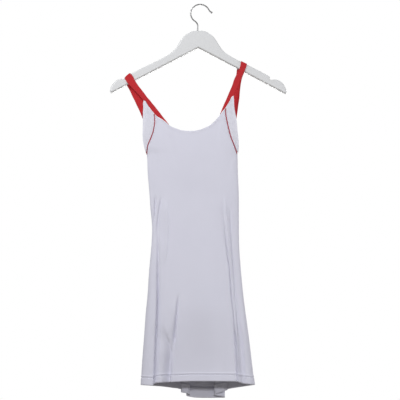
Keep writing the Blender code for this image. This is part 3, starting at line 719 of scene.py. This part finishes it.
def front_outline():
    """The front's upper edge from the right underarm, over the neckline, to the left one."""
    left = beside(spaced(LEFT_PIPING), PIPING_CLEAR)
    right = beside(spaced(RIGHT_PIPING), -PIPING_CLEAR)
    left_x, right_x = left[0][0], right[0][0]
    left_seam = lowered(between(LEFT_STRAP_SEAM, left_x + 1, NECKLINE[0][0] - 1))
    right_seam = lowered(between(RIGHT_STRAP_SEAM, NECKLINE[-1][0] + 1, right_x - 1))
    neckline = front_neckline()
    left_corner = corner_under(LEFT_STRAP_SEAM, left_x)
    right_corner = corner_under(RIGHT_STRAP_SEAM, right_x)
    left_run = straight(np.concatenate([neckline[:1], left_seam[::-1], left_corner]))
    right_run = straight(np.concatenate([right_corner, right_seam, neckline[-1:]]))
    return as_flat(np.concatenate([right[:1:-1], right_run, neckline[-2:0:-1], left_run, left[2:]]))


def make_front(finish):
    flat, faces = cut_panel(front_outline(), even_columns(front_place))
    edges = [as_flat(front_neckline())]
    return sew_cloth("front_panel", flat, faces, front_place, -1, edges, finish, "white_jersey")


def make_back(finish):
    left, right = straight(BACK_LEFT_ARMHOLE), straight(BACK_RIGHT_ARMHOLE)
    neckline = spaced(BACK_NECKLINE)
    top_left = straight([BACK_NECKLINE[0], BACK_LEFT_ARMHOLE[0]])
    top_right = straight([BACK_RIGHT_ARMHOLE[0], BACK_NECKLINE[-1]])
    outline = np.concatenate([right[::-1], top_right[1:], neckline[-2::-1], top_left[1:], left[1:]])
    flat, faces = cut_panel(as_flat(outline), even_columns(back_place))
    edges = [as_flat(line) for line in (left, right, neckline)]
    return sew_cloth("back_panel", flat, faces, back_place, 1, edges, finish, "white_jersey")


def make_side_front(side, finish):
    """The narrow piece between a side's armhole and its piped seam."""
    inner = beside(spaced(side.piping), side.sign * PIPING_CLEAR)[:-3]
    low, high = sorted((side.armhole[0][0], inner[0][0]))
    upper = lowered(between(side.strap_seam, low, high))
    corner = corner_under(side.strap_seam, inner[0][0])
    top = straight(np.concatenate([side.armhole[:1], upper, corner]))
    outer = spaced(side.armhole)
    ring = np.concatenate([outer[::-1], top[1:], inner[1:]])
    if side.sign > 0:
        ring = ring[::-1]
    columns = np.arange(-SIDE_FRONT_REACH, SIDE_FRONT_REACH, SIDE_FRONT_STEP / ANGLE_TO_MM)
    rows = np.arange(UNDERARM, BODICE_TOP, SIDE_FRONT_STEP)
    flat, faces = fill_outline(as_flat(ring), columns, rows, SIDE_FRONT_CLEARANCE)
    name = "side_front_" + side.name
    return sew_cloth(name, flat, faces, front_place, -1, [as_flat(outer)], finish, "white_mesh")


def strap_half(rows, outward, bulge):
    """Half a strap, row by row from its end up to the fold over the hanger and round to its top.

    bulge lifts the middle of the fold over the hanger's corner.
    """
    parts = np.linspace(0, 1, STRAP_COLUMNS + 1)

    def across(table):
        neck, outer = table[:, None, :2], table[:, None, 2:]
        return neck + parts[:, None] * (outer - neck)

    low = across(spaced(rows[1:], STRAP_STEP)[::-1])
    top, following = across(np.array(rows[:2], float))
    slope = (following - top)[:, 0] / (top - following)[:, 1]
    drops = STRAP_FOLD_RISE * np.linspace(1, 0, STRAP_FOLD_STEPS)[1:, None] ** 2
    high = np.stack([top[:, 0] + slope * drops, top[:, 1] - drops], -1)
    flat_top = (1 - drops / STRAP_FOLD_RISE) ** STRAP_FOLD_SQUARENESS
    rounding = np.concatenate([np.ones((len(low), 1)), (1 - flat_top) ** (1 / STRAP_FOLD_SQUARENESS)])
    x, z = np.moveaxis(np.concatenate([low, high]), -1, 0)
    depth = body_depths("front" if outward < 0 else "back", np.radians(angles_at(x, z)), z)
    settled = np.clip(1 - (top[:, 1] - z) / STRAP_SETTLING, 0, None)
    z = z + bulge * 4 * parts * (1 - parts) * settled
    crown = STRAP_CROWN * (1 - (2 * parts - 1) ** STRAP_CROWN_FLATNESS)
    return np.stack([x, outward * (depth + crown - STRAP_CROWN) * rounding, z], -1)


def strap_widths(rows):
    return np.linalg.norm(rows[:, -1] - rows[:, 0], axis=1)


def make_strap(side, finish):
    """A strap, and its points row by row from the front seam over the hanger to the back."""
    front = strap_half(side.strap_front, -1, side.fold_bulge)
    back = strap_half(side.strap_back, 1, side.fold_bulge)
    rows = np.concatenate([front, back[-2::-1]])
    count, wide = rows.shape[:2]
    faces = grid_faces(count, wide)
    if side.sign < 0:
        faces = [face[::-1] for face in faces]
    along = np.repeat(lengths_along(rows[:, wide // 2])[:, None], wide, 1)
    widths = strap_widths(rows)[:, None]
    parts = np.linspace(0, 1, wide)
    cut = [(parts - 0.5) * widths, along, widths * np.minimum(parts, 1 - parts)]
    name = "strap_" + side.name
    piece = add_piece(name + "_cloth", cloth_mesh(name, rows, faces, cut), finish, "red_jersey", name)
    thicken(piece, STRAP_CLOTH)
    return piece, rows


def make_tube(name, places, radii, finish, slot_name, *nodes, resolution=5):
    """A round wire or cord through places in millimetres, with closed ends."""
    curve = bpy.data.curves.new(name, "CURVE")
    curve.dimensions = "3D"
    curve.bevel_depth = MM
    curve.bevel_resolution = resolution
    curve.use_fill_caps = True
    spline = curve.splines.new("POLY")
    spline.points.add(len(places) - 1)
    spline.points.foreach_set("co", np.insert(places * MM, 3, 1, axis=1).ravel())
    spline.points.foreach_set("radius", radii.astype(np.float32))
    spline.use_smooth = True
    add_piece(name, curve, finish, slot_name, *nodes)


def make_piping(side, finish):
    """The cord in a piped seam, a little sunk and a little uneven."""
    places = front_place(*as_flat(spaced(side.piping, PIPING_STEP)).T)
    places[:, 1] += PIPING_SINK
    along = np.linspace(0, 1, len(places))
    radii = PIPING_RADIUS * (1 + 0.05 * np.sin(along * 61) + 0.03 * np.sin(along * 143 + 1))
    name = "piping_" + side.name
    make_tube(name + "_cord", places, radii, finish, "red_piping", name)


def at_numbers(rows, numbers):
    """Rows at numbers that may lie between them."""
    return np.stack([np.interp(numbers, np.arange(len(rows)), column) for column in rows.T], -1)


def stitch_beads(path, normals, lift):
    """A row of stitches along a path in space: short round beads of thread, of 16 points each."""
    along = lengths_along(path)
    wanted = np.arange(STITCH_PITCH / 2, along[-1], STITCH_PITCH)
    numbers = np.interp(wanted, along, np.arange(len(path)))
    before, after = at_numbers(path, numbers - 0.3), at_numbers(path, numbers + 0.3)
    ways = unit(after - before)
    out = unit(at_numbers(normals, numbers))
    sides = np.cross(ways, out)
    places = (before + after) / 2 + lift * out
    points = []
    for forward, swell, rise in BEAD_RINGS:
        for turn in (0.0, math.pi / 2, math.pi, 3 * math.pi / 2):
            up = THREAD_RADIUS * (rise + swell * math.sin(turn))
            aside = THREAD_RADIUS * swell * math.cos(turn)
            points.append(places + forward * STITCH * ways + up * out + aside * sides)
    return np.stack(points, 1)


def make_stitches(key, rows, finish, slot_name):
    """One mesh of rows of stitches, each with its path, the outer face's direction and its lift."""
    beads = np.concatenate([stitch_beads(*row) for row in rows])
    between_rings = [
        [ring + i, ring + (i + 1) % 4, ring + 4 + (i + 1) % 4, ring + 4 + i]
        for ring in (0, 4, 8)
        for i in range(4)
    ]
    bead = np.array(between_rings + [[3, 2, 1, 0], [12, 13, 14, 15]])
    faces = bead + 16 * np.arange(len(beads))[:, None, None]
    name = key + "_stitches"
    mesh = bpy.data.meshes.new(name)
    mesh.from_pydata((beads.reshape(-1, 3) * MM).tolist(), [], faces.reshape(-1, 4).tolist())
    return add_piece(name, mesh, finish, slot_name)


def panel_row(place, outward, line):
    """A row of stitches on a panel along a line seen from the front."""
    flat = as_flat(line)
    runs = [np.linspace(low, high, 4, endpoint=False) for low, high in zip(flat, flat[1:])]
    fine = np.concatenate(runs + [flat[-1:]])
    return place(*fine.T), outer_normals(place, fine, outward), STITCH_LIFT


def edge_rows(place, outward, edge, inwards, trim=2):
    """The two rows of stitches along a turned edge. inwards is 1 where the cloth lies to its left.

    trim is the number of places that they stop short by at each end.
    """
    lines = [beside(edge, inwards * shift)[trim:-trim] for shift in EDGE_STITCHES]
    return [panel_row(place, outward, line) for line in lines]


def hem_rows(place, outward):
    """The two rows of stitches along the hem's seam."""
    angles = np.linspace(-HEM_STITCH_REACH, HEM_STITCH_REACH, HEM_STITCH_PLACES)
    rows = []
    for drop in HEM_STITCHES:
        flat = np.stack([angles, np.full_like(angles, HEM_LEVEL + HEM_DEPTH - drop)], -1)
        rows.append((place(*flat.T), outer_normals(place, flat, outward), HEM_STITCH_LIFT))
    return rows


def strap_rows(rows, sign):
    """The rows of stitches along both edges of a strap, where it is wide enough for them."""
    normals = unit(np.cross(np.gradient(rows, axis=0), np.gradient(rows, axis=1))) * sign
    widths = strap_widths(rows)
    wide = widths > STRAP_STITCH_WIDTH
    numbers = np.arange(len(rows))
    inwards = np.clip(STRAP_EDGE_STITCH / widths, 0, 0.4)
    made = []
    for part in (inwards, 1 - inwards):
        column = part * STRAP_COLUMNS
        low = np.floor(column).astype(int)
        share = (column - low)[:, None]
        path = rows[numbers, low] * (1 - share) + rows[numbers, low + 1] * share
        made.append((path[wide], normals[numbers, low][wide], STRAP_STITCH_LIFT))
    return made


def make_sewing(white, red, straps):
    """All the visible stitches, one mesh for each piece. Rows stop short of where seams cross."""
    seams = [
        beside(spaced(LEFT_PIPING), PIPING_STITCH)[2:-6],
        beside(spaced(RIGHT_PIPING), -PIPING_STITCH)[2:-4],
        beside(straight(LEFT_STRAP_SEAM[5:]), -STRAP_SEAM_STITCH)[2:-3],
        beside(straight(RIGHT_STRAP_SEAM[4:]), STRAP_SEAM_STITCH)[2:-3],
    ]
    rows = hem_rows(front_place, -1) + edge_rows(front_place, -1, front_neckline(), -1)
    rows += [panel_row(front_place, -1, seam) for seam in seams]
    made = {"front": make_stitches("front", rows, white, "white_jersey")}
    rows = hem_rows(back_place, 1)
    for edge, inwards in ((BACK_NECKLINE, -1), (BACK_LEFT_ARMHOLE, 1), (BACK_RIGHT_ARMHOLE, -1)):
        rows += edge_rows(back_place, 1, spaced(edge), inwards)
    made["back"] = make_stitches("back", rows, white, "white_jersey")
    for side in SIDES:
        rows = edge_rows(front_place, -1, spaced(side.armhole), -side.sign, 3)
        key = "side_front_" + side.name
        made[key] = make_stitches(key, rows, white, "white_mesh")
        key = "strap_" + side.name
        made[key] = make_stitches(key, strap_rows(straps[side.name], side.sign), red, "red_jersey")
    return made


def inset(outline, distance):
    """A closed outline, which runs clockwise, moved inwards, with its corners on their middle lines."""
    ways = unit(np.roll(outline, -1, axis=0) - outline)
    inwards = np.stack([ways[:, 1], -ways[:, 0]], -1)
    before = np.roll(inwards, 1, axis=0)
    bend = 1 + np.sum(inwards * before, axis=1)
    return outline + distance * (inwards + before) / np.maximum(bend, 0.4)[:, None]


def hanger_outline():
    """The hanger from the front, clockwise from the middle of its top."""
    beside_apex = (HANGER_APEX_HALF_WIDTH, HANGER_APEX - HANGER_LOWER_SLOPE * HANGER_APEX_HALF_WIDTH)
    under = straight([HANGER_TIP[-1], beside_apex], HANGER_UNDER_STEP)[1:]
    top = spaced(HANGER_ARM, HANGER_ARM_STEP)
    right = np.concatenate([top, [HANGER_NOTCH], spaced(HANGER_TIP), under])
    return np.concatenate([right, [(0, HANGER_APEX)], right[:0:-1] * (-1, 1)])


def hanger_profile():
    """The rounding of the hanger's edges from its front to its back, as distance inwards and y."""
    radius, half = HANGER_EDGE_RADIUS, HANGER_DEPTH / 2
    turns = np.linspace(0, math.pi / 2, HANGER_EDGE_STEPS)
    steps = [(radius * (1 - math.sin(turn)), half - radius * (1 - math.cos(turn))) for turn in turns]
    return steps + [(inwards, -y) for inwards, y in steps[::-1]]


def make_hanger_body(finish):
    outline = hanger_outline()
    work = bmesh.new()
    rings = []
    for inwards, y in hanger_profile():
        rings.append([work.verts.new((x * MM, y * MM, z * MM)) for x, z in inset(outline, inwards)])
    for ring, following in zip(rings, rings[1:]):
        for i in range(len(ring)):
            work.faces.new([ring[i - 1], ring[i], following[i], following[i - 1]])
    for ring in (rings[0], rings[-1]):
        rim = [work.edges.get((ring[i - 1], ring[i])) for i in range(len(ring))]
        bmesh.ops.triangle_fill(work, use_beauty=True, edges=rim)
    bmesh.ops.recalc_face_normals(work, faces=work.faces[:])
    mesh = bpy.data.meshes.new("hanger_wood")
    work.to_mesh(mesh)
    work.free()
    piece = add_piece("hanger_wood", mesh, finish, "painted_wood", "hanger_body")
    mesh.set_sharp_from_angle(angle=HANGER_SHARP_ANGLE)
    piece.modifiers.new("Even shading", "WEIGHTED_NORMAL").keep_sharp = True
    piece.location = (HANGER_CENTRE_X * MM, 0, 0)
    piece.rotation_euler = (0, HANGER_TILT, 0)


def make_hook(finish):
    centre_z = HOOK_WIRE_RADIUS - HOOK_RADIUS
    arc = np.radians(np.arange(HOOK_ARC_START, HOOK_ARC_END, -HOOK_ARC_STEP))
    round_part = np.stack([HOOK_RADIUS * np.cos(arc), centre_z + HOOK_RADIUS * np.sin(arc)], -1)
    line = spaced(np.concatenate([HOOK_STEM, round_part, HOOK_END]), HOOK_STEP)
    places = np.insert(line, 1, 0, axis=1)
    widths = np.interp(line[:, 0], [x for x, _ in HOOK_END], HOOK_END_WIDTHS, left=1.0)
    radii = HOOK_WIRE_RADIUS * np.where(line[:, 1] < HOOK_END_TOP, widths, 1.0)
    make_tube("hanger_hook_wire", places, radii, finish, "hook_steel", "hanger_hook", resolution=7)


class Wire:
    """An output of a shader node. Maths on it adds Math nodes, so a pattern reads as an expression."""

    def __init__(self, nodes, socket):
        self.nodes = nodes
        self.socket = socket

    def maths(self, operation, *others):
        values = dict(enumerate([self, *others]))
        return self.nodes.node("ShaderNodeMath", {"operation": operation}, values)

    def __add__(self, other):
        return self.maths("ADD", other)

    def __sub__(self, other):
        return self.maths("SUBTRACT", other)

    def __rsub__(self, other):
        return self.maths("MULTIPLY_ADD", -1.0, other)

    def __mul__(self, other):
        return self.maths("MULTIPLY", other)

    def __pow__(self, power):
        return self.maths("POWER", power)

    def __abs__(self):
        return self.maths("ABSOLUTE")

    __radd__ = __add__
    __rmul__ = __mul__


class Nodes:
    """Short ways to add nodes to the tree of a finish or of the surround."""

    def __init__(self, tree):
        self.tree = tree

    def connect(self, socket, value):
        if isinstance(value, Wire):
            self.tree.links.new(value.socket, socket)
        else:
            socket.default_value = value

    def node(self, kind, settings=(), sockets=(), output=0):
        made = self.tree.nodes.new(kind)
        for name, value in dict(settings).items():
            setattr(made, name, value)
        for name, value in dict(sockets).items():
            self.connect(made.inputs[name], value)
        return Wire(self, made.outputs[output])

    def show_camera(self, seen, usual, output):
        """Lets the camera see one shader where light meets the usual one."""
        sockets = {0: self.node("ShaderNodeLightPath"), 1: Wire(self, usual.outputs[0]), 2: seen}
        mixed = self.node("ShaderNodeMixShader", {}, sockets)
        self.connect(self.tree.nodes[output].inputs["Surface"], mixed)


class Finish(Nodes):
    """A material in the making: the constants of its shader, and what varies over its surface."""

    def __init__(self, name, colour, roughness, **constants):
        self.material = bpy.data.materials.new(name)
        self.material.use_nodes = True
        super().__init__(self.material.node_tree)
        self.shader = self.tree.nodes["Principled BSDF"]
        self.colour = (*colour, 1.0)
        self.set("Base Color", self.colour)
        self.set("Roughness", roughness)
        for socket, value in constants.items():
            self.set(socket.replace("_", " ").title().replace("Ior", "IOR"), value)

    def set(self, socket, value):
        self.connect(self.shader.inputs[socket], value)

    def cut(self):
        """The cloth's flat place, in millimetres across, up, and from the nearest finished edge."""
        place = self.node("ShaderNodeAttribute", {"attribute_name": "cut"}, output="Vector")
        return [self.node("ShaderNodeSeparateXYZ", {}, {0: place}, output=i) for i in range(3)]

    def place(self):
        """The place on the piece, in metres."""
        return self.node("ShaderNodeTexCoord", output="Object")

    def stretched_place(self, scale):
        return self.node("ShaderNodeMapping", {}, {"Vector": self.place(), "Scale": scale})

    def noise(self, scale, detail=2.0, place=None):
        sockets = {"Scale": scale, "Detail": detail, "Vector": place or self.place()}
        return self.node("ShaderNodeTexNoise", {}, sockets)

    def twill(self, scale):
        """Slanting ridges of twisted thread or of woven tape."""
        sockets = {"Scale": scale, "Vector": self.place()}
        return self.node("ShaderNodeTexWave", {"bands_direction": "DIAGONAL"}, sockets, 1)

    def tint(self, colour, factor):
        """Turns the base colour towards another one. 6, 7 and 2 are the Mix node's colour sockets."""
        sockets = {0: factor, 6: self.colour, 7: (*colour, 1.0)}
        self.colour = self.node("ShaderNodeMix", {"data_type": "RGBA"}, sockets, 2)
        self.set("Base Color", self.colour)

    def bump(self, height, strength, distance):
        sockets = {"Height": height, "Strength": strength, "Distance": distance * MM}
        self.set("Normal", self.node("ShaderNodeBump", {}, sockets))


def knit_loops(across, up, wale, course):
    """The height of jersey's loops: columns of small legs that slant to each column's middle."""
    leg = abs((across * (1 / wale)).maths("FRACT") - 0.5)
    row = (up * (1 / course) + leg * 1.3).maths("FRACT")
    return (row * math.pi).maths("SINE") * (1 - (leg * 2) ** 3)


def white_jersey():
    finish = Finish("white_jersey", (0.69, 0.69, 0.795), 0.82, sheen_weight=0.1, sheen_roughness=0.5,
                    specular_ior_level=0.3)
    across, up, _ = finish.cut()
    finish.tint((0.61, 0.61, 0.715), (finish.noise(9.0, 3.0) - 0.35) * 0.6)
    loops = knit_loops(across, up, 0.9, 0.7)
    fine = finish.noise(900.0)
    finish.set("Roughness", 0.78 + fine * 0.1)
    finish.bump(loops * 0.7 + fine * 0.3, 0.5, 0.12)
    return finish.material


def white_mesh():
    """A fine knit, plain along its edges, with rows of small holes, each shifted by half a hole."""
    finish = Finish("white_mesh", (0.73, 0.73, 0.82), 0.8, sheen_weight=0.2, sheen_roughness=0.5,
                    specular_ior_level=0.3)
    across, up, edge = finish.cut()
    rows = up * (1 / MESH_ROW)
    shifted = across * (1 / MESH_PITCH) + (rows.maths("FLOOR") * 0.5).maths("FRACT")
    x = abs(shifted.maths("FRACT") - 0.5) * MESH_PITCH
    z = abs(rows.maths("FRACT") - 0.5) * MESH_ROW
    hole = 1 - (((x * x + z * z) ** 0.5 - 0.2) * 4.0).maths("MINIMUM", 1.0)
    inside = hole * edge.maths("GREATER_THAN", EDGE_BAND)
    # The holes are tinted darker: painted shade of the dress's inside, seen through them.
    finish.tint((0.45, 0.45, 0.52), inside * 0.5)
    finish.bump(1 - inside, 0.6, 0.25)
    return finish.material


def red_jersey():
    finish = Finish("red_jersey", (0.53, 0.031, 0.037), 0.8, sheen_weight=0.02, sheen_roughness=0.5,
                    specular_ior_level=0.07)
    finish.set("Sheen Tint", (1.0, 0.4, 0.35, 1.0))
    across, up, edge = finish.cut()
    finish.tint((0.47, 0.03, 0.038), finish.noise(14.0, 3.0) * 0.8)
    groove_height = 1 - abs(edge - STRAP_EDGE_STITCH).maths("MINIMUM", 1.0)
    # The stitch groove along each edge is tinted darker: painted shade in the groove.
    finish.tint((0.36, 0.02, 0.025), groove_height * 0.4)
    loops = knit_loops(across, up, 1.0, 0.75)
    finish.bump(loops * 0.5 - groove_height * 1.5, 0.6, 0.15)
    return finish.material


def red_piping():
    finish = Finish("red_piping", (0.44, 0.03, 0.05), 0.55, specular_ior_level=0.2)
    finish.tint((0.31, 0.025, 0.05), finish.noise(60.0) * 0.8)
    finish.bump(finish.twill(320.0), 0.4, 0.08)
    return finish.material


def sewing_thread(name, colour):
    finish = Finish(name, colour, 0.55, sheen_weight=0.3)
    twist = finish.twill(900.0)
    finish.tint(tuple(0.8 * part for part in colour), twist * 0.5)
    finish.bump(twist, 0.3, 0.05)
    return finish.material


def painted_wood():
    finish = Finish("white_paint", (0.7, 0.71, 0.73), 0.42, coat_weight=0.15, coat_roughness=0.3)
    grain = finish.noise(3.0, 3.0, finish.stretched_place((6.0, 40.0, 40.0)))
    finish.tint((0.67, 0.675, 0.685), (grain - 0.4) * 0.6)
    finish.tint((0.64, 0.62, 0.57), (finish.noise(22.0, 3.0) - 0.62) * 1.2)
    finish.set("Roughness", 0.36 + finish.noise(40.0) * 0.12)
    finish.bump(grain, 0.06, 0.2)
    return finish.material


def hook_steel():
    finish = Finish("hook_steel", (0.4, 0.4, 0.41), 0.4, metallic=1.0)
    finish.tint((0.32, 0.31, 0.3), (finish.noise(40.0) - 0.45) * 1.2)
    scratches = finish.noise(420.0, 3.0, finish.stretched_place((1.0, 1.0, 8.0)))
    finish.set("Roughness", 0.36 + scratches * 0.12)
    finish.bump(scratches, 0.05, 0.05)
    return finish.material


def pale_floor():
    finish = Finish("pale_floor", (0.66, 0.63, 0.57), 0.9)
    finish.tint((0.62, 0.59, 0.53), finish.noise(2.0, 3.0))
    seen = finish.node("ShaderNodeEmission", {}, {"Color": FLOOR_SEEN})
    finish.show_camera(seen, finish.shader, "Material Output")
    return finish.material


def set_camera():
    camera = bpy.data.cameras.new("camera")
    camera.lens = CAMERA_LENS
    camera.sensor_width = 36
    holder = add_object("camera", camera)
    holder.location = CAMERA_PLACE
    holder.rotation_euler = (math.radians(90) + CAMERA_TILT, 0, 0)
    bpy.context.scene.camera = holder
    bpy.context.scene.view_settings.view_transform = "Standard"


def add_light(name, place, aim, size, power):
    lamp = bpy.data.lights.new(name, "AREA")
    lamp.shape = "RECTANGLE"
    lamp.size, lamp.size_y = size
    lamp.energy = power
    light = add_object(name, lamp)
    light.location = place
    light.rotation_euler = (Vector(aim) - Vector(place)).to_track_quat("-Z", "Y").to_euler()


def set_surround():
    """White all round to the camera, and a weaker glow on the dress."""
    world = bpy.data.worlds.new("white_surround")
    bpy.context.scene.world = world
    world.use_nodes = True
    surround = Nodes(world.node_tree)
    glow = surround.tree.nodes["Background"]
    surround.connect(glow.inputs["Color"], WHITE)
    surround.connect(glow.inputs["Strength"], SURROUND_GLOW)
    seen = surround.node("ShaderNodeBackground", {}, {"Color": WHITE})
    surround.show_camera(seen, glow, "World Output")


def make_floor():
    work = bmesh.new()
    bmesh.ops.create_grid(work, x_segments=4, y_segments=4, size=FLOOR_HALF_WIDTH)
    mesh = bpy.data.meshes.new("floor")
    work.to_mesh(mesh)
    work.free()
    mesh.materials.append(pale_floor())
    floor = add_object("floor", mesh)
    floor.location = (0, 0, FLOOR_HEIGHT)


def set_studio():
    set_camera()
    for light in LIGHTS:
        add_light(*light)
    set_surround()
    make_floor()


def main():
    set_studio()
    jersey, mesh, red, piping = white_jersey(), white_mesh(), red_jersey(), red_piping()
    white_thread = sewing_thread("white_thread", (0.78, 0.78, 0.84))
    red_thread = sewing_thread("red_thread", (0.5, 0.05, 0.06))
    pieces = {"front": make_front(jersey), "back": make_back(jersey)}
    for side in SIDES:
        pieces["side_front_" + side.name] = make_side_front(side, mesh)
    straps = {}
    for side in SIDES:
        pieces["strap_" + side.name], straps[side.name] = make_strap(side, red)
    for side in SIDES:
        make_piping(side, piping)
    stitches = make_sewing(white_thread, red_thread, straps)
    make_hanger_body(painted_wood())
    make_hook(hook_steel())


main()
